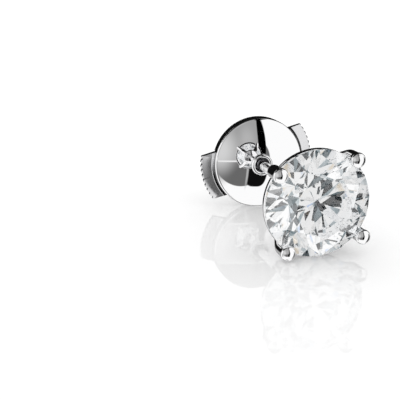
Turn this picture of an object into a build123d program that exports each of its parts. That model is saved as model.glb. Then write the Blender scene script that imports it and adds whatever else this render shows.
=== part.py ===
from build123d import *

import os
from math import atan, cos, degrees, radians, sin, sqrt, tan

# A single stud earring: one round brilliant in a four-claw basket that is soldered to
# its post, and a round domed clutch with two thumb pads that locks on the post.
#
# Every piece is first drawn standing up: +Z runs along the post towards the stone's
# table, z = 0 is the middle of the stone's girdle, and angles run anticlockwise as seen
# from in front of the table. lay_down() then puts the stud on its side, on one flat of
# its girdle and the rim of its clutch, as it lies on a table. Sizes are in mm.

OVERRUN = 1.0  # how far a cutting shape runs past the metal it cuts
ROUND_MIDDLE = 1 - cos(radians(45))  # half way along a rounded corner, over its radius

# ---- the stone -------------------------------------------------------------------------
GIRDLE_R = 3.75  # to the corners of the girdle
GIRDLE_SIDES = 32
GIRDLE_H = 0.30
TABLE_SHARE = 0.56  # table width over stone width, corner to corner
CROWN_DEG = 34.5
PAVILION_DEG = 40.8
STAR_SHARE = 0.50  # how far the star facets reach from table to girdle
LOWER_HALF_SHARE = 0.77  # how far the lower girdle facets reach towards the culet
MAINS = 8

# ---- the setting -----------------------------------------------------------------------
CLAWS = 4
CLAW_R = 0.48
CLAW_OUT_R = 3.85  # where the claws stand upright, notched for the girdle
CLAW_UP_FROM, CLAW_TIP = -0.32, 1.16  # the heights between which they stand upright
CLAW_BENDS = (1.2, 0.8)  # the radii of a claw's two bends
BUTTON_R, BUTTON_FOOT_R = 0.52, 0.42  # the slightly swollen button that ends a claw
BUTTON_EDGE, BUTTON_WAIST, BUTTON_LONG = 0.25, 0.34, 0.62  # measured back from its top
CAP_R, CAP_EDGE_R = 0.85, 0.44  # its shallow dome, and how far out the dome runs
STONE_GAP = 0.03  # between the stone and the metal round it
RAIL_R = 3.72
RAIL_TOP, RAIL_FOOT = -0.24, -0.68
RAIL_WALL = 0.50
RAIL_SOFT = 0.12  # the rounding of the rail's edges
CUP_R = 1.50
CUP_TOP, CUP_FOOT = -4.00, -4.75
CUP_SOFT = 0.18
CLAW_ROOT = (0.30, -4.28)  # radius and height, inside the cup
CLAW_KNEE = (1.95, -3.80)
POST_R = 0.40
POST_ROOT = CUP_FOOT + 0.10  # the post's top, soldered inside the cup
POST_FOOT = -13.80
POST_TIP_SOFT = 0.25
NECK_R = 0.30  # the rounded waist near the tip, hidden in the clutch that locks on it
NECK_TOP, NECK_FOOT = -11.20, -12.90

# ---- the clutch ------------------------------------------------------------------------
DISC_R = GIRDLE_R * cos(radians(180 / GIRDLE_SIDES))  # level with the girdle's flats
DISC_FACE = -12.00  # the front edge of its rim
DISC_BACK = -12.90
DISC_WALL = 0.30
DOME_R = 9.80
DOME_MIDWAY = 2.20  # a radius between the collar and the rim
EDGE_R = 0.12  # the rim's rounded front edge
COLLAR_R = 0.88
COLLAR_MOUTH = -11.10
COLLAR_LIP = 0.09
MOUTH_R, MOUTH_DEPTH = 0.60, 0.85
BORE_R = POST_R + 0.05
HUB_R = 1.00
DRUM_R = 3.30
DRUM_GAP = 0.03  # between the disc's back and the drum
DRUM_BACK = -14.30
DRUM_DOME_R = 14.0
DRUM_CORNER = 0.30
DRUM_BORE_FOOT = -13.95

# ---- the thumb pads --------------------------------------------------------------------
PAD_R = 4.80
PAD_HALF_W = 1.90
PAD_FACE, PAD_BACK = -12.36, -12.88
PAD_BEVEL = 0.07
PAD_FOOT_U, PAD_SHOULDER_U = 2.10, 2.50  # the foot that keeps a pad inside the rim
PAD_FOOT_HALF_W = 2.25
SLIDE_GAP = 0.05
NOTCH_FROM_U = 2.60  # the rim's notch is cut outwards from here, inside the rim
STEP_R, STEP_DROP, STEP_RUN = 3.94, 0.04, 0.03  # the step at the foot of the finger face
LIP_R, LIP_DROP = 4.70, 0.14  # the finger face leans back to here
RIB_COUNT, RIB_STEP_DEG = 9, 5.2
RIB_CUT_R, RIB_CUT_AT = 0.15, PAD_R + 0.05

# ---- how the stud lies -----------------------------------------------------------------
ROLL_DEG = 180 / GIRDLE_SIDES  # turns a girdle flat to the bottom
CLAW_ROLL_DEG = 7.5  # turns the claws, so that one stops the stud just after it starts to roll
PADS_DEG = 15.0  # the line through the two pads, from the horizontal
AXIS_HEIGHT = DISC_R
FRONT = GIRDLE_H / 2 + GIRDLE_R * (1 - TABLE_SHARE) * tan(radians(CROWN_DEG))  # the table
MIDDLE = (FRONT + DRUM_BACK) / 2  # half way along the stud


def lay_down(shape):
    """Turns a standing piece on its side, centred along the stud, resting on z = 0."""
    return Pos(0, MIDDLE, AXIS_HEIGHT) * Rot(90, 0, 0) * shape


def ring(*points):
    """A ring turned from its section, given as (radius, height) corners."""
    return revolve(Plane.XZ * make_face(Polyline(*points, close=True)), Axis.Z)


def facet(azimuth, slope, point_r, point_z):
    """The plane of a facet that faces azimuth and leans slope degrees from level.

    It passes through a point at radius point_r along that azimuth. A positive slope
    faces up, for the crown, and a negative one faces down, for the pavilion.
    """
    lean = radians(abs(slope))
    up = 1 if slope >= 0 else -1
    a = radians(azimuth)
    normal = (sin(lean) * cos(a), sin(lean) * sin(a), up * cos(lean))
    return Plane(origin=(point_r * cos(a), point_r * sin(a), point_z), z_dir=normal)


def brilliant():
    """A round brilliant cut from a prism, one flat facet at a time."""
    half_step = 180 / MAINS  # from a main facet to the star beside it
    quarter_step = half_step / 2
    edge_z = GIRDLE_H / 2
    table_r = GIRDLE_R * TABLE_SHARE
    table_z = edge_z + (GIRDLE_R - table_r) * tan(radians(CROWN_DEG))
    culet_z = -edge_z - GIRDLE_R * tan(radians(PAVILION_DEG))

    # The star's tip lies on the ridge between two neighbouring mains.
    star_base_r = table_r * cos(radians(half_step))
    star_tip_r = star_base_r + STAR_SHARE * (GIRDLE_R - star_base_r)
    along_main = star_tip_r * cos(radians(half_step))
    star_tip_z = edge_z + (GIRDLE_R - along_main) * tan(radians(CROWN_DEG))
    star_deg = degrees(atan((table_z - star_tip_z) / (star_tip_r - star_base_r)))
    # An upper girdle facet runs from a chord of the girdle up to the star's tip.
    chord_r = GIRDLE_R * cos(radians(quarter_step))
    tip_in = star_tip_r * cos(radians(quarter_step))
    upper_deg = degrees(atan((star_tip_z - edge_z) / (chord_r - tip_in)))
    # A lower girdle facet runs from the same chord down to the ridge between mains.
    low_tip_r = GIRDLE_R * (1 - LOWER_HALF_SHARE)
    low_drop = (GIRDLE_R - low_tip_r * cos(radians(half_step))) * tan(radians(PAVILION_DEG))
    low_in = low_tip_r * cos(radians(quarter_step))
    lower_deg = degrees(atan(low_drop / (chord_r - low_in)))

    height = table_z - culet_z
    blank = extrude(RegularPolygon(GIRDLE_R, GIRDLE_SIDES), height)
    stone = Pos(0, 0, culet_z) * blank
    planes = []
    for i in range(MAINS):
        main = i * 2 * half_step
        planes.append(facet(main, CROWN_DEG, GIRDLE_R, edge_z))
        planes.append(facet(main, -PAVILION_DEG, GIRDLE_R, -edge_z))
        planes.append(facet(main + half_step, star_deg, star_base_r, table_z))
        for side in (-quarter_step, quarter_step):
            planes.append(facet(main + side, upper_deg, chord_r, edge_z))
            planes.append(facet(main + side, -lower_deg, chord_r, -edge_z))
    for plane in planes:
        stone = split(stone, bisect_by=plane, keep=Keep.BOTTOM)
    return Rot(0, 0, ROLL_DEG) * stone


def seat():
    """The room that the stone takes in its setting, with a small gap all round."""
    half = GIRDLE_H / 2 + STONE_GAP
    out = GIRDLE_R + STONE_GAP
    crown = out * tan(radians(CROWN_DEG))
    pavilion = out * tan(radians(PAVILION_DEG))
    return ring((0, half + crown), (out, half), (out, -half), (0, -half - pavilion))


def claw_button():
    """The end of a claw, with its top at the origin: a shallow dome on a soft edge."""
    dome_drop = CAP_R - sqrt(CAP_R**2 - CAP_EDGE_R**2)
    half_r = CAP_EDGE_R / 2
    edge_width, edge_drop = BUTTON_R - CAP_EDGE_R, BUTTON_EDGE - dome_drop
    side = cos(radians(45))
    outline = [
        ThreePointArc(
            (0, 0), (half_r, sqrt(CAP_R**2 - half_r**2) - CAP_R), (CAP_EDGE_R, -dome_drop)
        ),
        ThreePointArc(
            (CAP_EDGE_R, -dome_drop),
            (CAP_EDGE_R + edge_width * side, -dome_drop - edge_drop * (1 - side)),
            (BUTTON_R, -BUTTON_EDGE),
        ),
        Polyline(
            (BUTTON_R, -BUTTON_EDGE),
            (BUTTON_R, -BUTTON_WAIST),
            (BUTTON_FOOT_R, -BUTTON_LONG),
            (0, -BUTTON_LONG),
            (0, 0),
        ),
    ]
    return revolve(Plane.XZ * make_face(outline), Axis.Z)


def claw():
    """One claw: a wire from the cup up past the girdle, ending in a domed button."""
    route = Plane.XZ * FilletPolyline(
        CLAW_ROOT,
        CLAW_KNEE,
        (CLAW_OUT_R, CLAW_UP_FROM),
        (CLAW_OUT_R, CLAW_TIP - BUTTON_WAIST),
        radius=CLAW_BENDS,
    )
    section = Plane(origin=route @ 0, z_dir=route % 0) * Circle(CLAW_R)
    return sweep(section, path=route) + Pos(CLAW_OUT_R, 0, CLAW_TIP) * claw_button()


def rail():
    """The ring under the girdle that ties the claws together."""
    inner = RAIL_R - RAIL_WALL
    body = ring((inner, RAIL_TOP), (RAIL_R, RAIL_TOP), (RAIL_R, RAIL_FOOT), (inner, RAIL_FOOT))
    return fillet(body.edges().filter_by(GeomType.CIRCLE), RAIL_SOFT)


def post():
    """The ear post: a plain shaft with a rounded waist near its tip."""
    neck = (NECK_R, (NECK_TOP + NECK_FOOT) / 2)
    outline = [
        Polyline((0, POST_FOOT), (0, POST_ROOT), (POST_R, POST_ROOT), (POST_R, NECK_TOP)),
        ThreePointArc((POST_R, NECK_TOP), neck, (POST_R, NECK_FOOT)),
        Polyline((POST_R, NECK_FOOT), (POST_R, POST_FOOT), (0, POST_FOOT)),
    ]
    body = revolve(Plane.XZ * make_face(outline), Axis.Z)
    tip = body.edges().filter_by(GeomType.CIRCLE).sort_by(Axis.Z)[0]
    return fillet(tip, POST_TIP_SOFT)


def setting():
    """Claws, rail, cup and post, soldered into one piece, with a seat cut for the stone."""
    step = 360 / CLAWS
    metal = Pos(0, 0, (CUP_TOP + CUP_FOOT) / 2) * Cylinder(CUP_R, CUP_TOP - CUP_FOOT)
    metal = fillet(metal.edges().filter_by(GeomType.CIRCLE), CUP_SOFT)
    metal += post()
    metal += rail()
    for i in range(CLAWS):
        metal += Rot(0, 0, CLAW_ROLL_DEG + step * (i + 0.5)) * claw()
    return metal - seat()


def bar(u_from, u_to, width):
    """A rectangle that runs outwards along u, centred across it."""
    return Pos((u_from + u_to) / 2, 0) * Rectangle(u_to - u_from, width)


def clutch_disc():
    """The domed front of the clutch: hollow behind, notched where the pads come out."""
    centre_z = DISC_FACE - sqrt(DOME_R**2 - (DISC_R - EDGE_R) ** 2)
    inner_r = DOME_R - DISC_WALL

    def dome(r, ball_r=DOME_R):
        return (r, centre_z + sqrt(ball_r**2 - r**2))

    rim_in = DISC_R - DISC_WALL
    bore_top = COLLAR_MOUTH - MOUTH_DEPTH
    outline = [
        Line((BORE_R, DISC_BACK), (BORE_R, bore_top)),
        Line((BORE_R, bore_top), (MOUTH_R, bore_top)),
        Line((MOUTH_R, bore_top), (MOUTH_R, COLLAR_MOUTH - COLLAR_LIP)),
        ThreePointArc(
            (MOUTH_R, COLLAR_MOUTH - COLLAR_LIP),
            ((MOUTH_R + COLLAR_R) / 2, COLLAR_MOUTH),
            (COLLAR_R, COLLAR_MOUTH - COLLAR_LIP),
        ),
        Line((COLLAR_R, COLLAR_MOUTH - COLLAR_LIP), dome(COLLAR_R)),
        ThreePointArc(dome(COLLAR_R), dome(DOME_MIDWAY), dome(DISC_R - EDGE_R)),
        ThreePointArc(
            dome(DISC_R - EDGE_R),
            (DISC_R - EDGE_R * ROUND_MIDDLE, DISC_FACE - EDGE_R * ROUND_MIDDLE),
            (DISC_R, DISC_FACE - EDGE_R),
        ),
        Line((DISC_R, DISC_FACE - EDGE_R), (DISC_R, DISC_BACK)),
        Line((DISC_R, DISC_BACK), (rim_in, DISC_BACK)),
        Line((rim_in, DISC_BACK), dome(rim_in, inner_r)),
        ThreePointArc(dome(rim_in, inner_r), dome(DOME_MIDWAY, inner_r), dome(HUB_R, inner_r)),
        Line(dome(HUB_R, inner_r), (HUB_R, DISC_BACK)),
        Line((HUB_R, DISC_BACK), (BORE_R, DISC_BACK)),
    ]
    disc = revolve(Plane.XZ * make_face(outline), Axis.Z)
    ceiling = PAD_FACE + SLIDE_GAP
    width = 2 * (PAD_HALF_W + SLIDE_GAP)
    notch = extrude(bar(NOTCH_FROM_U, DISC_R + OVERRUN, width), DISC_BACK - OVERRUN - ceiling)
    for side in (0, 180):
        disc -= Rot(0, 0, PADS_DEG + side) * Pos(0, 0, ceiling) * notch
    return disc


def pad_plan():
    """A pad's outline along the post: a wide foot inside, and a straight-sided head."""
    foot = bar(PAD_FOOT_U, PAD_SHOULDER_U, 2 * PAD_FOOT_HALF_W)
    return foot + bar(PAD_FOOT_U, PAD_R + OVERRUN, 2 * PAD_HALF_W)


def clutch_drum():
    """The closed back of the clutch, which the pads lie on, with a blind post hole."""
    top = DISC_BACK - DRUM_GAP
    centre_z = DRUM_BACK + DRUM_DOME_R

    def back(r):
        return (r, centre_z - sqrt(DRUM_DOME_R**2 - r**2))

    outline = [
        Polyline(back(0), (0, DRUM_BORE_FOOT), (BORE_R, DRUM_BORE_FOOT), (BORE_R, top)),
        Polyline((BORE_R, top), (DRUM_R, top), back(DRUM_R)),
        ThreePointArc(back(DRUM_R), back(DRUM_R / 2), back(0)),
    ]
    section = make_face(outline)
    corner = section.vertices().sort_by_distance(back(DRUM_R))[0]
    return revolve(Plane.XZ * fillet(corner, DRUM_CORNER), Axis.Z)


def thumb_pad(side):
    """One thumb pad: a finger face that leans back, a ribbed edge, a foot inside the rim."""
    bevel_r = PAD_R - PAD_BEVEL
    section = Polyline(
        (0, PAD_FACE),
        (STEP_R, PAD_FACE),
        (STEP_R + STEP_RUN, PAD_FACE - STEP_DROP),
        (LIP_R, PAD_FACE - LIP_DROP),
        (PAD_R, PAD_FACE - LIP_DROP - PAD_BEVEL),
        (PAD_R, PAD_BACK + PAD_BEVEL),
        (bevel_r, PAD_BACK),
        (0, PAD_BACK),
        close=True,
    )
    turned = revolve(Plane.XZ * make_face(section), Axis.Z)
    through = PAD_FACE - PAD_BACK + 2 * OVERRUN
    pad = turned & Pos(0, 0, PAD_BACK - OVERRUN) * extrude(pad_plan(), through)
    middle_z = (PAD_FACE + PAD_BACK) / 2
    valley = Cylinder(RIB_CUT_R, through)
    for i in range(RIB_COUNT):
        angle = (i - (RIB_COUNT - 1) / 2) * RIB_STEP_DEG
        pad -= Rot(0, 0, angle) * Pos(RIB_CUT_AT, 0, middle_z) * valley
    return Rot(0, 0, PADS_DEG + side) * pad


parts = {
    "stone": brilliant(),
    "claw_setting": setting(),
    "clutch_disc": clutch_disc(),
    "clutch_drum": clutch_drum(),
    "thumb_pad_right": thumb_pad(0),
    "thumb_pad_left": thumb_pad(180),
}

os.makedirs("parts", exist_ok=True)
for name, shape in parts.items():
    export_step(lay_down(shape), f"parts/{name}.step")
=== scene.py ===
from math import ceil, cos, degrees, hypot, pi, radians, sin, sqrt, tan

import bmesh
import bpy
from mathutils import Matrix, Vector


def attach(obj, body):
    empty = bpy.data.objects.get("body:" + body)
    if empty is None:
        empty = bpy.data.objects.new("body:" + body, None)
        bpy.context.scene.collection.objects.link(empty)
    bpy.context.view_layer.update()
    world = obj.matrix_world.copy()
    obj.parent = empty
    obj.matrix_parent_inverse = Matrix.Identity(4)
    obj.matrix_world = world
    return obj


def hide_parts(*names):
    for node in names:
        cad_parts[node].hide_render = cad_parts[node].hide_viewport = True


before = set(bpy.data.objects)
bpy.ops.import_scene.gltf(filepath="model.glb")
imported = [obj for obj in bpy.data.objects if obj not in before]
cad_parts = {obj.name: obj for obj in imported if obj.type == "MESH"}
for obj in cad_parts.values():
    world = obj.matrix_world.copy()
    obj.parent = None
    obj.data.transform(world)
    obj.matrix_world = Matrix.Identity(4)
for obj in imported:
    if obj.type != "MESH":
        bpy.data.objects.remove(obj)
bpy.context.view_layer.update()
scene = bpy.context.scene

# Every metal piece is drawn standing, in mm: +Z runs along the post towards the stone's
# table and z = 0 is the middle of the girdle. lay_down() puts it on its side.
MM = 0.001

# The stone.
GIRDLE_R = 3.75
GIRDLE_SIDES = 32
GIRDLE_H = 0.30
TABLE_SHARE = 0.56
CROWN_DEG = 34.5
PAVILION_DEG = 40.8

# The setting.
CLAWS = 4
CLAW_R = 0.48
CLAW_OUT_R = 3.85
CLAW_UP_FROM, CLAW_TIP = -0.32, 1.16
CLAW_BENDS = (1.2, 0.8)
BUTTON_R, BUTTON_FOOT_R = 0.52, 0.42
BUTTON_EDGE, BUTTON_WAIST, BUTTON_LONG = 0.25, 0.34, 0.62
CAP_R, CAP_EDGE_R = 0.85, 0.44
CLAW_ROOT = (0.30, -4.28)
CLAW_KNEE = (1.95, -3.80)
STONE_GAP = 0.03
RAIL_R = 3.72
RAIL_TOP, RAIL_FOOT = -0.24, -0.68
RAIL_WALL = 0.50
RAIL_SOFT = 0.12
CUP_R = 1.50
CUP_TOP, CUP_FOOT = -4.00, -4.75
CUP_SOFT = 0.18
POST_R = 0.40
POST_ROOT = CUP_FOOT + 0.10
POST_FOOT = -13.80
POST_TIP_SOFT = 0.25
NECK_R = 0.30
NECK_TOP, NECK_FOOT = -11.20, -12.90

# The clutch.
DISC_R = GIRDLE_R * cos(pi / GIRDLE_SIDES)
DISC_FACE = -12.00
DISC_BACK = -12.90
DISC_WALL = 0.30
DOME_R = 9.80
EDGE_R = 0.12
COLLAR_R = 0.88
COLLAR_MOUTH = -11.10
COLLAR_LIP = 0.09
MOUTH_R, MOUTH_DEPTH = 0.60, 0.85
BORE_R = POST_R + 0.05
HUB_R = 1.00
DRUM_R = 3.30
DRUM_GAP = 0.03
DRUM_BACK = -14.30
DRUM_DOME_R = 14.0
DRUM_CORNER = 0.30
DRUM_BACK_EDGE = 0.02  # how far inside the rounded corner the domed back starts
DRUM_BORE_FOOT = -13.95

# The thumb pads.
PAD_R = 4.80
PAD_HALF_W = 1.90
PAD_FACE, PAD_BACK = -12.36, -12.88
PAD_BEVEL = 0.07
PAD_FOOT_U, PAD_SHOULDER_U = 2.10, 2.50
PAD_FOOT_HALF_W = 2.25
SLIDE_GAP = 0.05
NOTCH_FROM_U = 2.60
STEP_R, STEP_DROP, STEP_RUN = 3.94, 0.04, 0.03
LIP_R, LIP_DROP = 4.70, 0.14
RIB_COUNT, RIB_STEP_DEG = 9, 5.2
RIB_CUT_R, RIB_CUT_AT = 0.15, PAD_R + 0.05

# How the stud lies.
CLAW_ROLL_DEG = 7.5
PADS_DEG = 15.0
AXIS_HEIGHT = DISC_R
FRONT = GIRDLE_H / 2 + GIRDLE_R * (1 - TABLE_SHARE) * tan(radians(CROWN_DEG))
MIDDLE = (FRONT + DRUM_BACK) / 2

# How fine the meshes are.
ROUND = 192  # steps round a turned piece
CUP_ROUND, POST_ROUND, CLUTCH_ROUND, PAD_ROUND = 96, 64, 256, 360
VALLEY_ROUND = 24
WIRE = 40  # steps round a wire
WIRE_STEP, POST_STEP = 0.12, 0.4  # the longest step along a claw and along the post
ARC_DEG = 7.5  # the most that one step of a bend turns
BUTTON_STEPS, CAP_STEPS = 8, 12
CAP_END = 0.2  # the share of a step that the cap's last ring stays from its centre
WAIST_STEPS = 12
LIP_STEPS, EDGE_STEPS = 14, 8
DOME_STEPS, HOLLOW_STEPS, DRUM_STEPS = 56, 20, 24
SHARP_DEG = 32  # edges that turn more than this stay sharp
CUTTER_OVERRUN = 1.0


# ---- the camera ------------------------------------------------------------------------
CAMERA_FROM_GIRDLE = Vector((-19.55, -43.5, 14.27))
CAMERA_TURN_DEG = 14.65
CAMERA_DIP_DEG = 16.6
CAMERA_LENS, CAMERA_SENSOR = 65.7, 36.0
NEAREST, FARTHEST = 0.001, 10.0  # in metres


def set_up_camera():
    """The camera, in front of the stone's table, to its left and a little above."""
    data = bpy.data.cameras.new("bench_camera")
    data.sensor_width = CAMERA_SENSOR
    data.lens = CAMERA_LENS
    data.clip_start, data.clip_end = NEAREST, FARTHEST
    camera = bpy.data.objects.new("bench_camera", data)
    scene.collection.objects.link(camera)
    camera.location = (CAMERA_FROM_GIRDLE + Vector((0, MIDDLE, AXIS_HEIGHT))) * MM
    camera.rotation_euler = (radians(90 - CAMERA_DIP_DEG), 0, -radians(CAMERA_TURN_DEG))
    scene.camera = camera


# ---- drawing sections and routes -------------------------------------------------------
def bent(corners, radii, closed=False):
    """Points along a run of straight lines, each corner rounded to its radius."""
    n = len(corners)
    points = []
    for i, (corner, radius) in enumerate(zip(corners, radii)):
        here = Vector(corner)
        if radius == 0 or (not closed and i in (0, n - 1)):
            points.append(tuple(here))
            continue
        back = (Vector(corners[i - 1]) - here).normalized()
        ahead = (Vector(corners[(i + 1) % n]) - here).normalized()
        turn = pi - back.angle(ahead)
        start = here + back * radius * tan(turn / 2)
        centre = here + (back + ahead).normalized() * radius / cos(turn / 2)
        spoke = start - centre
        side = 1 if back.x * ahead.y - back.y * ahead.x < 0 else -1
        steps = max(2, ceil(degrees(turn) / ARC_DEG))
        for k in range(steps + 1):
            a = side * turn * k / steps
            swung = (spoke.x * cos(a) - spoke.y * sin(a), spoke.x * sin(a) + spoke.y * cos(a))
            points.append((centre.x + swung[0], centre.y + swung[1]))
    return points


def finer(points, longest):
    """The same line with no step longer than that."""
    out = [points[0]]
    for a, b in zip(points, points[1:]):
        steps = max(1, ceil(hypot(b[0] - a[0], b[1] - a[1]) / longest))
        out += [(a[0] + (b[0] - a[0]) * k / steps, a[1] + (b[1] - a[1]) * k / steps)
                for k in range(1, steps + 1)]
    return out


def sphere_line(height_at, r_from, r_to, steps):
    """Points on a turned sphere's section, from one radius to another."""
    return [(r, height_at(r)) for r in
            (r_from + (r_to - r_from) * k / steps for k in range(steps + 1))]


# ---- making meshes ---------------------------------------------------------------------
def standing(name, bm):
    """A new object from a bmesh, still standing and in mm."""
    bmesh.ops.recalc_face_normals(bm, faces=bm.faces)
    mesh = bpy.data.meshes.new(name)
    bm.to_mesh(mesh)
    bm.free()
    made = bpy.data.objects.new(name, mesh)
    scene.collection.objects.link(made)
    return made


def turned(name, section, around=ROUND):
    """A solid turned about Z from its closed section of (radius, height) points."""
    bm = bmesh.new()
    rings = []
    for r, z in section:
        if r < 1e-6:
            rings.append([bm.verts.new((0, 0, z))] * around)
        else:
            rings.append([bm.verts.new((r * cos(2 * pi * k / around),
                                        r * sin(2 * pi * k / around), z))
                          for k in range(around)])
    for a, b in zip(rings, rings[1:] + rings[:1]):
        if a[0] is a[1] and b[0] is b[1]:
            continue
        for k in range(around):
            m = (k + 1) % around
            corners = list(dict.fromkeys((a[k], a[m], b[m], b[k])))
            bm.faces.new(corners)
    return standing(name, bm)


def drawn_wire(name, route, radii):
    """A round wire along a route in the XZ plane, closed at both ends."""
    bm = bmesh.new()
    rings = []
    for i, ((x, z), radius) in enumerate(zip(route, radii)):
        a, b = route[max(0, i - 1)], route[min(len(route) - 1, i + 1)]
        along = Vector((b[0] - a[0], 0, b[1] - a[1])).normalized()
        across = along.cross(Vector((0, 1, 0)))
        rings.append([bm.verts.new(Vector((x, 0, z))
                                   + across * radius * cos(2 * pi * k / WIRE)
                                   + Vector((0, 1, 0)) * radius * sin(2 * pi * k / WIRE))
                      for k in range(WIRE)])
    for a, b in zip(rings, rings[1:]):
        for k in range(WIRE):
            m = (k + 1) % WIRE
            bm.faces.new((a[k], a[m], b[m], b[k]))
    bm.faces.new(rings[0][::-1])
    bm.faces.new(rings[-1])
    return standing(name, bm)


def block(name, outline, z_from, z_to):
    """A straight block from an outline of (x, y) points."""
    bm = bmesh.new()
    low = [bm.verts.new((x, y, z_from)) for x, y in outline]
    high = [bm.verts.new((x, y, z_to)) for x, y in outline]
    bm.faces.new(low[::-1])
    bm.faces.new(high)
    for k in range(len(outline)):
        m = (k + 1) % len(outline)
        bm.faces.new((low[k], low[m], high[m], high[k]))
    return standing(name, bm)


def turn_about_post(made, angle_deg):
    """Turns a standing piece about the post's line."""
    made.data.transform(Matrix.Rotation(radians(angle_deg), 4, "Z"))
    return made


def combine(made, tools, operation):
    """Adds, cuts or keeps the overlap with each tool, and uses the tools up."""
    for tool in tools:
        step = made.modifiers.new("step", "BOOLEAN")
        step.solver = "MANIFOLD"
        step.operation = operation
        step.object = tool
    result = bpy.data.meshes.new_from_object(
        made.evaluated_get(bpy.context.evaluated_depsgraph_get()))
    made.modifiers.clear()
    made.data = result
    for tool in tools:
        bpy.data.objects.remove(tool)
    return made


def lay_down(made, node, body, material):
    """Finishes a piece: smooth but for its edges, laid on its side, in metres."""
    made.data.transform(Matrix.Scale(MM, 4)
                        @ Matrix.Translation((0, MIDDLE, AXIS_HEIGHT))
                        @ Matrix.Rotation(radians(90), 4, "X"))
    made.data.name = made.name
    made.data.materials.clear()
    made.data.materials.append(material)
    made.data.polygons.foreach_set("use_smooth", [True] * len(made.data.polygons))
    made.data.set_sharp_from_angle(angle=radians(SHARP_DEG))
    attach(made, body)
    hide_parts(node)
    return made


# ---- the setting -----------------------------------------------------------------------
def seat():
    """The room that the stone takes, with a small gap all round."""
    half = GIRDLE_H / 2 + STONE_GAP
    out = GIRDLE_R + STONE_GAP
    return turned("seat", [(0, half + out * tan(radians(CROWN_DEG))), (out, half),
                           (out, -half), (0, -half - out * tan(radians(PAVILION_DEG)))])


def claw(number):
    """One claw: a wire from the cup up past the girdle, ending in a domed button."""
    shaft = bent((CLAW_ROOT, CLAW_KNEE, (CLAW_OUT_R, CLAW_UP_FROM),
                  (CLAW_OUT_R, CLAW_TIP - BUTTON_LONG)), (0, *CLAW_BENDS, 0))
    shaft = finer(shaft, WIRE_STEP)
    dome_drop = CAP_R - sqrt(CAP_R**2 - CAP_EDGE_R**2)
    neck_drop = BUTTON_WAIST + (BUTTON_LONG - BUTTON_WAIST) * (
        (BUTTON_R - CLAW_R) / (BUTTON_R - BUTTON_FOOT_R))
    button = [(neck_drop, CLAW_R), (BUTTON_WAIST, BUTTON_R), (BUTTON_EDGE, BUTTON_R)]
    for k in range(1, BUTTON_STEPS + 1):
        a = radians(90 - 90 * k / BUTTON_STEPS)
        button.append((dome_drop + (BUTTON_EDGE - dome_drop) * (1 - cos(a)),
                       CAP_EDGE_R + (BUTTON_R - CAP_EDGE_R) * sin(a)))
    for k in range(1, CAP_STEPS + 1):
        r = CAP_EDGE_R * (1 - k / (CAP_STEPS + CAP_END))
        button.append((CAP_R - sqrt(CAP_R**2 - r**2), r))
    route = shaft + [(CLAW_OUT_R, CLAW_TIP - drop) for drop, _ in button]
    radii = [CLAW_R] * len(shaft) + [radius for _, radius in button]
    wire = drawn_wire(f"claw_{number}", route, radii)
    return turn_about_post(wire, CLAW_ROLL_DEG + 360 / CLAWS * (number + 0.5))


def make_setting(metal):
    """The cup, post, rail and four claws, soldered into one, with room cut for the stone."""
    cup = turned("claw_basket", bent(
        ((0, CUP_TOP), (CUP_R, CUP_TOP), (CUP_R, CUP_FOOT), (0, CUP_FOOT)),
        (0, CUP_SOFT, CUP_SOFT, 0), closed=True), CUP_ROUND)
    half = (NECK_TOP - NECK_FOOT) / 2
    neck_z = (NECK_TOP + NECK_FOOT) / 2
    waist_r = (half**2 + (POST_R - NECK_R)**2) / (2 * (POST_R - NECK_R))
    drops = [half * k / WAIST_STEPS for k in range(-WAIST_STEPS, WAIST_STEPS + 1)]
    waist = [(NECK_R + waist_r - sqrt(waist_r**2 - drop**2), neck_z - drop) for drop in drops]
    tip = bent((waist[-1], (POST_R, POST_FOOT), (0, POST_FOOT)), (0, POST_TIP_SOFT, 0))
    shaft = finer([(0, POST_ROOT), (POST_R, POST_ROOT)] + waist + tip[1:], POST_STEP)
    post = turned("post", shaft, POST_ROUND)
    inner = RAIL_R - RAIL_WALL
    rail = turned("rail", bent(
        ((inner, RAIL_TOP), (RAIL_R, RAIL_TOP), (RAIL_R, RAIL_FOOT), (inner, RAIL_FOOT)),
        (RAIL_SOFT,) * 4, closed=True))
    combine(cup, [post, rail] + [claw(i) for i in range(CLAWS)], "UNION")
    combine(cup, [seat()], "DIFFERENCE")
    return lay_down(cup, "claw_setting", "stud", metal)


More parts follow.
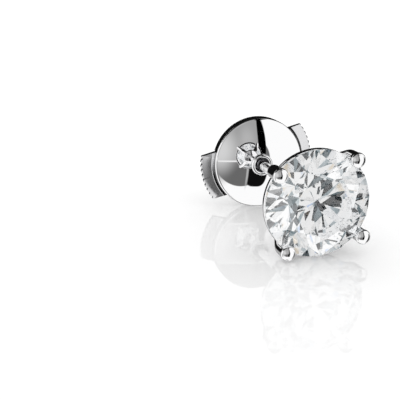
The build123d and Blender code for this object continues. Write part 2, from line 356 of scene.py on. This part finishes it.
# ---- the clutch ------------------------------------------------------------------------
def make_disc(metal, drilled_painted_shade):
    """The domed front of the clutch, hollow behind, with its collar and post bore."""
    centre_z = DISC_FACE - sqrt(DOME_R**2 - (DISC_R - EDGE_R)**2)

    def dome(r):
        return centre_z + sqrt(DOME_R**2 - r**2)

    def inside(r):
        return centre_z + sqrt((DOME_R - DISC_WALL)**2 - r**2)

    rim_in = DISC_R - DISC_WALL
    bore_top = COLLAR_MOUTH - MOUTH_DEPTH
    lip_r, lip_z = (MOUTH_R + COLLAR_R) / 2, COLLAR_MOUTH - COLLAR_LIP
    section = [(BORE_R, DISC_BACK), (BORE_R, bore_top), (MOUTH_R, bore_top)]
    for k in range(LIP_STEPS + 1):
        a = pi * k / LIP_STEPS
        section.append((lip_r - (lip_r - MOUTH_R) * cos(a), lip_z + COLLAR_LIP * sin(a)))
    section += sphere_line(dome, COLLAR_R, DISC_R - EDGE_R, DOME_STEPS)
    for k in range(1, EDGE_STEPS + 1):
        a = pi / 2 * k / EDGE_STEPS
        section.append((DISC_R - EDGE_R * (1 - sin(a)), DISC_FACE - EDGE_R * (1 - cos(a))))
    section += [(DISC_R, DISC_BACK), (rim_in, DISC_BACK)]
    section += sphere_line(inside, rim_in, HUB_R, HOLLOW_STEPS)
    section += [(HUB_R, DISC_BACK)]
    disc = turned("clutch_front", section, CLUTCH_ROUND)
    u_to, half_w = DISC_R + CUTTER_OVERRUN, PAD_HALF_W + SLIDE_GAP
    plan = [(NOTCH_FROM_U, -half_w), (u_to, -half_w), (u_to, half_w), (NOTCH_FROM_U, half_w)]
    combine(disc, [turn_about_post(block("notch", plan, DISC_BACK - CUTTER_OVERRUN,
                                         PAD_FACE + SLIDE_GAP), PADS_DEG + side)
                   for side in (0, 180)], "DIFFERENCE")
    lay_down(disc, "clutch_disc", "clutch", metal)
    # The mouth and the bore are rougher where the drill left them, and a darker colour is painted
    # there as the shade that falls in the recess.
    disc.data.materials.append(drilled_painted_shade)
    for face in disc.data.polygons:
        away = hypot(face.center.x, face.center.z - AXIS_HEIGHT * MM)
        if away < MOUTH_R * MM and face.center.y > (MIDDLE - COLLAR_MOUTH) * MM:
            face.material_index = 1
    return disc


def pad_plan():
    """A pad's outline: a wide foot inside and a straight-sided head."""
    foot_in, shoulder, head_out = PAD_FOOT_U, PAD_SHOULDER_U, PAD_R + CUTTER_OVERRUN
    return [(foot_in, -PAD_FOOT_HALF_W), (shoulder, -PAD_FOOT_HALF_W), (shoulder, -PAD_HALF_W),
            (head_out, -PAD_HALF_W), (head_out, PAD_HALF_W), (shoulder, PAD_HALF_W),
            (shoulder, PAD_FOOT_HALF_W), (foot_in, PAD_FOOT_HALF_W)]


def make_drum(metal):
    """The closed back of the clutch, which the pads lie on."""
    top = DISC_BACK - DRUM_GAP
    centre_z = DRUM_BACK + DRUM_DOME_R

    def back(r):
        return centre_z - sqrt(DRUM_DOME_R**2 - r**2)

    soft_r = DRUM_R - DRUM_CORNER
    corner = bent(((soft_r, back(soft_r)), (DRUM_R, back(DRUM_R)), (DRUM_R, top)),
                  (0, DRUM_CORNER, 0))
    section = [(0, DRUM_BORE_FOOT), (BORE_R, DRUM_BORE_FOOT), (BORE_R, top), (DRUM_R, top)]
    section += corner[-2:0:-1]
    section += sphere_line(back, corner[1][0] - DRUM_BACK_EDGE, 0, DRUM_STEPS)
    drum = turned("clutch_back", section, CLUTCH_ROUND)
    return lay_down(drum, "clutch_drum", "clutch", metal)


def make_pad(side, node, body, metal):
    """A thumb pad with a finger face that leans back, and a ribbed outer edge."""
    section = [(0, PAD_FACE), (STEP_R, PAD_FACE), (STEP_R + STEP_RUN, PAD_FACE - STEP_DROP),
               (LIP_R, PAD_FACE - LIP_DROP), (PAD_R, PAD_FACE - LIP_DROP - PAD_BEVEL),
               (PAD_R, PAD_BACK + PAD_BEVEL), (PAD_R - PAD_BEVEL, PAD_BACK), (0, PAD_BACK)]
    pad = turned(f"finger_{body}", section, PAD_ROUND)
    low, high = PAD_BACK - CUTTER_OVERRUN, PAD_FACE + CUTTER_OVERRUN
    combine(pad, [block("plan", pad_plan(), low, high)], "INTERSECT")
    valleys = []
    for i in range(RIB_COUNT):
        turns = [2 * pi * k / VALLEY_ROUND for k in range(VALLEY_ROUND)]
        circle = [(RIB_CUT_AT + RIB_CUT_R * cos(a), RIB_CUT_R * sin(a)) for a in turns]
        valleys.append(turn_about_post(block("valley", circle, low, high),
                                       (i - (RIB_COUNT - 1) / 2) * RIB_STEP_DEG))
    combine(pad, valleys, "DIFFERENCE")
    turn_about_post(pad, PADS_DEG + side)
    return lay_down(pad, node, body, metal)


# ---- finishes --------------------------------------------------------------------------
def polish_marks():
    """Node group: how a polishing wheel or brush leaves metal, as roughness and height."""
    group = bpy.data.node_groups.new("polish_marks", "ShaderNodeTree")
    made = group.interface.new_socket
    for name, value in (("Marks Per Metre", 4000.0), ("Smoothest", 0.03), ("Roughest", 0.06),
                        ("Stretch Across", 1.0)):
        made(name, in_out="INPUT", socket_type="NodeSocketFloat").default_value = value
    made("Roughness", in_out="OUTPUT", socket_type="NodeSocketFloat")
    made("Height", in_out="OUTPUT", socket_type="NodeSocketFloat")
    add, link = group.nodes.new, group.links.new
    given, out = add("NodeGroupInput"), add("NodeGroupOutput")
    place = add("ShaderNodeTexCoord")
    stretch = add("ShaderNodeCombineXYZ")
    link(given.outputs["Stretch Across"], stretch.inputs["X"])
    stretch.inputs["Y"].default_value = 1.0
    link(given.outputs["Stretch Across"], stretch.inputs["Z"])
    scaled = add("ShaderNodeVectorMath")
    scaled.operation = "MULTIPLY"
    link(place.outputs["Object"], scaled.inputs[0])
    link(stretch.outputs["Vector"], scaled.inputs[1])
    fine = add("ShaderNodeTexNoise")
    fine.inputs["Detail"].default_value = 3.0
    link(scaled.outputs["Vector"], fine.inputs["Vector"])
    link(given.outputs["Marks Per Metre"], fine.inputs["Scale"])
    spread = add("ShaderNodeMapRange")
    link(fine.outputs["Fac"], spread.inputs["Value"])
    spread.inputs["From Min"].default_value = 0.3
    spread.inputs["From Max"].default_value = 0.7
    link(given.outputs["Smoothest"], spread.inputs["To Min"])
    link(given.outputs["Roughest"], spread.inputs["To Max"])
    link(spread.outputs["Result"], out.inputs["Roughness"])
    link(fine.outputs["Fac"], out.inputs["Height"])
    return group


def metal_finish(name, colour, marks, per_metre, smoothest, roughest, bump, across=1.0):
    """White gold as one tool leaves it. Across under 1 draws its marks out across the post."""
    material = bpy.data.materials.new(name)
    material.use_nodes = True
    nodes, links = material.node_tree.nodes, material.node_tree.links
    surface = nodes["Principled BSDF"]
    surface.inputs["Base Color"].default_value = (*colour, 1)
    surface.inputs["Metallic"].default_value = 1.0
    group = nodes.new("ShaderNodeGroup")
    group.node_tree = marks
    group.inputs["Marks Per Metre"].default_value = per_metre
    group.inputs["Smoothest"].default_value = smoothest
    group.inputs["Roughest"].default_value = roughest
    group.inputs["Stretch Across"].default_value = across
    links.new(group.outputs["Roughness"], surface.inputs["Roughness"])
    relief = nodes.new("ShaderNodeBump")
    relief.inputs["Distance"].default_value = bump
    links.new(group.outputs["Height"], relief.inputs["Height"])
    links.new(relief.outputs["Normal"], surface.inputs["Normal"])
    return material


def cut_stone():
    """Clear polished stone that bends light as much as diamond does."""
    material = bpy.data.materials.new("cut_stone")
    material.use_nodes = True
    surface = material.node_tree.nodes["Principled BSDF"]
    surface.inputs["Base Color"].default_value = (1, 1, 1, 1)
    surface.inputs["Roughness"].default_value = 0.01
    surface.inputs["IOR"].default_value = 2.417
    surface.inputs["Transmission Weight"].default_value = 1.0
    return material


# ---- the bench and its light -----------------------------------------------------------
BENCH_HALF, BENCH_DROP = 2.0, 1e-5  # in metres; the drop keeps it clear of what lies on it
BENCH_LIFT = 0.10  # lifts the bench to white where no shadow falls on it


def plain_stage(name, corners, material):
    """One flat face that the stud is shown on or in front of, not part of it."""
    bm = bmesh.new()
    bm.faces.new([bm.verts.new(c) for c in corners])
    mesh = bpy.data.meshes.new(name)
    bm.to_mesh(mesh)
    bm.free()
    made = bpy.data.objects.new(name, mesh)
    made.data.materials.append(material)
    scene.collection.objects.link(made)
    return made


def make_bench():
    """A white bench with a clear polish, which gives back a faint copy of the stud."""
    polished = bpy.data.materials.new("polished_white_bench")
    polished.use_nodes = True
    nodes, links = polished.node_tree.nodes, polished.node_tree.links
    surface = nodes["Principled BSDF"]
    surface.inputs["Base Color"].default_value = (0.95, 0.95, 0.95, 1)
    surface.inputs["Roughness"].default_value = 0.0
    surface.inputs["IOR"].default_value = 1.46
    surface.inputs["Emission Strength"].default_value = BENCH_LIFT
    path = nodes.new("ShaderNodeLightPath")
    links.new(path.outputs["Is Camera Ray"], surface.inputs["Emission Color"])
    half, low = BENCH_HALF, -BENCH_DROP
    bench = plain_stage("bench", [(-half, -half, low), (half, -half, low), (half, half, low),
                                  (-half, half, low)], polished)
    bench.visible_glossy = False
    bench.visible_transmission = False


def tent_gap():
    """Node group: where a soft-edged gap or card shows in the tent, by direction.

    Bearing 0 is in front of the stone's table and grows towards +X; both angles are in
    degrees. Squareness 2 gives an ellipse, and more gives squarer corners.
    """
    group = bpy.data.node_groups.new("tent_gap", "ShaderNodeTree")
    made = group.interface.new_socket
    for name, value in (("Bearing", 0.0), ("Height", 0.0), ("Half Width", 20.0),
                        ("Half Height", 20.0), ("Squareness", 2.0), ("Soft Edge", 0.04)):
        made(name, in_out="INPUT", socket_type="NodeSocketFloat").default_value = value
    made("Mask", in_out="OUTPUT", socket_type="NodeSocketFloat")
    add, link = group.nodes.new, group.links.new
    given, out = add("NodeGroupInput"), add("NodeGroupOutput")

    def work(operation, *values):
        node = add("ShaderNodeMath")
        node.operation = operation
        for socket, value in zip(node.inputs, values):
            if isinstance(value, (int, float)):
                socket.default_value = value
            else:
                link(value, socket)
        return node.outputs[0]

    place, parts = add("ShaderNodeTexCoord"), add("ShaderNodeSeparateXYZ")
    link(place.outputs["Generated"], parts.inputs[0])
    x, y, z = parts.outputs
    bearing = work("DEGREES", work("ARCTAN2", x, work("MULTIPLY", y, -1.0)))
    height = work("DEGREES", work("ARCSINE", z))
    aside = work("SUBTRACT", bearing, given.outputs["Bearing"])
    aside = work("SUBTRACT", work("FLOORED_MODULO", work("ADD", aside, 180.0), 360.0), 180.0)
    aside = work("DIVIDE", work("ABSOLUTE", aside), given.outputs["Half Width"])
    above = work("SUBTRACT", height, given.outputs["Height"])
    above = work("DIVIDE", work("ABSOLUTE", above), given.outputs["Half Height"])
    square = given.outputs["Squareness"]
    reach = work("POWER", work("ADD", work("POWER", aside, square), work("POWER", above, square)),
                 work("DIVIDE", 1.0, square))
    edge = add("ShaderNodeMapRange")
    edge.interpolation_type = "SMOOTHSTEP"
    link(reach, edge.inputs["Value"])
    link(work("SUBTRACT", 1.0, given.outputs["Soft Edge"]), edge.inputs["From Min"])
    link(work("ADD", 1.0, given.outputs["Soft Edge"]), edge.inputs["From Max"])
    edge.inputs["To Min"].default_value = 1.0
    edge.inputs["To Max"].default_value = 0.0
    link(edge.outputs["Result"], out.inputs["Mask"])
    return group


# Each gap or card in the tent round the metal: name, bearing, height, half width, half
# height, squareness, soft edge, brightness. A later one lies over the earlier ones.
TENT = (
    ("dark_ceiling", 0.0, 90.0, 400.0, 56.0, 8.0, 0.03, 0.01),
    ("dark_floor", 0.0, -90.0, 400.0, 24.0, 8.0, 0.05, 0.02),
    ("dark_upper_left", -105.0, 52.0, 50.0, 26.0, 3.0, 0.06, 0.01),
    ("dark_behind", 172.0, 0.0, 44.0, 44.0, 4.0, 0.05, 0.006),
    ("dark_right_behind", 112.0, -12.0, 44.0, 48.0, 3.0, 0.10, 0.02),
    ("lit_strip_behind", 197.0, 28.0, 8.0, 6.0, 2.0, 0.12, 0.80),
    ("lit_strip_end", 207.0, 19.0, 4.0, 7.0, 2.0, 0.12, 0.80),
    ("grey_low_behind", 188.0, -27.0, 22.0, 12.0, 3.0, 0.20, 0.40),
    ("lower_opening", -1.0, -9.4, 29.0, 27.0, 2.0, 0.02, 0.14),
    ("lower_opening_left", -25.0, -14.0, 9.0, 14.0, 2.0, 0.90, 0.20),
    ("dark_right_low", 16.0, -23.0, 11.0, 13.6, 3.5, 0.04, 0.005),
    ("streak_in_opening", 5.0, -22.0, 1.1, 13.0, 4.0, 0.60, 0.45),
    ("upper_opening", -6.0, 12.0, 29.5, 21.4, 12.0, 0.02, 0.36),
    ("upper_opening_left", -24.0, 2.0, 14.0, 18.0, 2.0, 0.80, 0.66),
    ("upper_opening_middle", 4.0, 12.0, 7.0, 11.0, 2.0, 0.80, 0.46),
    ("horizon_line", -10.0, -9.4, 19.0, 0.8, 6.0, 0.40, 0.85),
    ("dark_right_high", 19.6, 8.0, 4.2, 26.0, 2.3, 0.05, 0.0),
)

# The room that the stone sees: grey and dark cards on white, with a few warm and cool ones.
CARD_LAYOUT, CARD_SCALE = 48.1, 3.0
CARD_TONES = (
    (0.385, (0.004, 0.006, 0.008)), (0.42, (0.05, 0.07, 0.08)), (0.46, (0.25, 0.32, 0.35)),
    (0.485, (0.60, 0.66, 0.69)), (0.51, (1.0, 1.0, 1.0)), (0.592, (1.0, 1.0, 1.0)),
    (0.596, (0.86, 0.76, 0.62)), (0.602, (0.90, 0.82, 0.70)), (0.606, (1.0, 1.0, 1.0)),
    (0.655, (1.0, 1.0, 1.0)), (0.660, (0.48, 0.62, 0.88)), (0.670, (0.60, 0.72, 0.92)),
    (0.675, (1.0, 1.0, 1.0)),
)
DEEPEST_CARD_BOUNCE = 8
PAST_DEEPEST = (0.97, 0.98, 0.99, 1.0)  # what light sees that has been round the stone more often
METAL_IN_STONE = (0.93, 0.94, 0.95, 1.0)  # what metal sees where it shows through the stone
MOST_BOUNCES = 64  # with fewer, light caught in the stone leaves black specks


def light_the_bench():
    """A white tent. Metal sees its gaps, and clear stone sees a room full of small cards."""
    world = bpy.data.worlds.new("white_tent")
    world.use_nodes = True
    scene.world = world
    nodes, links = world.node_tree.nodes, world.node_tree.links

    def chosen(condition, otherwise, instead):
        mix = nodes.new("ShaderNodeMix")
        mix.data_type = "RGBA"
        links.new(condition, mix.inputs["Factor"])
        for socket, value in ((mix.inputs[6], otherwise), (mix.inputs[7], instead)):
            if isinstance(value, tuple):
                socket.default_value = value
            else:
                links.new(value, socket)
        return mix.outputs[2]

    def more_than(value, limit):
        test = nodes.new("ShaderNodeMath")
        test.operation = "GREATER_THAN"
        test.inputs[1].default_value = limit
        links.new(value, test.inputs[0])
        return test.outputs[0]

    group = tent_gap()
    white = (1.0, 1.0, 1.0, 1.0)
    tent = white
    for name, *values, brightness in TENT:
        gap = nodes.new("ShaderNodeGroup")
        gap.node_tree = group
        gap.label = name
        for socket, value in zip(gap.inputs, values):
            socket.default_value = value
        tent = chosen(gap.outputs["Mask"], tent, (brightness, brightness, brightness, 1.0))

    place = nodes.new("ShaderNodeTexCoord")
    cards = nodes.new("ShaderNodeTexNoise")
    cards.noise_dimensions = "4D"
    cards.inputs["W"].default_value = CARD_LAYOUT
    cards.inputs["Scale"].default_value = CARD_SCALE
    cards.inputs["Detail"].default_value = 0.0
    links.new(place.outputs["Generated"], cards.inputs["Vector"])
    tones = nodes.new("ShaderNodeValToRGB")
    links.new(cards.outputs["Fac"], tones.inputs["Fac"])
    steps = tones.color_ramp.elements
    for step, (position, colour) in zip(steps, (CARD_TONES[0], CARD_TONES[-1])):
        step.position, step.color = position, (*colour, 1)
    for position, colour in CARD_TONES[1:-1]:
        steps.new(position).color = (*colour, 1)

    path = nodes.new("ShaderNodeLightPath")
    tent = chosen(more_than(path.outputs["Transmission Depth"], 0), tent, METAL_IN_STONE)
    seen = chosen(path.outputs["Is Glossy Ray"], white, tent)
    seen = chosen(path.outputs["Is Singular Ray"], seen, white)
    deep = more_than(path.outputs["Ray Depth"], DEEPEST_CARD_BOUNCE)
    room = chosen(deep, tones.outputs["Color"], PAST_DEEPEST)
    seen = chosen(path.outputs["Is Transmission Ray"], seen, room)
    links.new(seen, nodes["Background"].inputs["Color"])


scene.view_settings.view_transform = "Standard"
scene.cycles.max_bounces = MOST_BOUNCES
scene.cycles.glossy_bounces = MOST_BOUNCES
scene.cycles.transmission_bounces = MOST_BOUNCES

set_up_camera()
marks = polish_marks()
white_gold = metal_finish("polished_white_gold", (0.97, 0.97, 0.975), marks,
                          per_metre=3000, smoothest=0.015, roughest=0.03, bump=1e-7)
# Painted shade: the mouth and bore get a darkened base colour that stands for the shade in that
# recess; only their rougher finish is the drill's.
drilled_gold_painted_shade = metal_finish("drilled_white_gold_painted_shade", (0.30, 0.30, 0.31), marks,
                            per_metre=6000, smoothest=0.06, roughest=0.14, bump=1e-6)
brushed_gold = metal_finish("brushed_white_gold", (0.76, 0.76, 0.77), marks,
                            per_metre=9000, smoothest=0.08, roughest=0.20, bump=1e-6, across=0.12)
make_setting(white_gold)
make_disc(white_gold, drilled_gold_painted_shade)
make_drum(white_gold)
make_pad(0, "thumb_pad_right", "pad_right", brushed_gold)
make_pad(180, "thumb_pad_left", "pad_left", brushed_gold)
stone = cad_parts["stone"]
stone.data.materials.clear()
stone.data.materials.append(cut_stone())
make_bench()
light_the_bench()
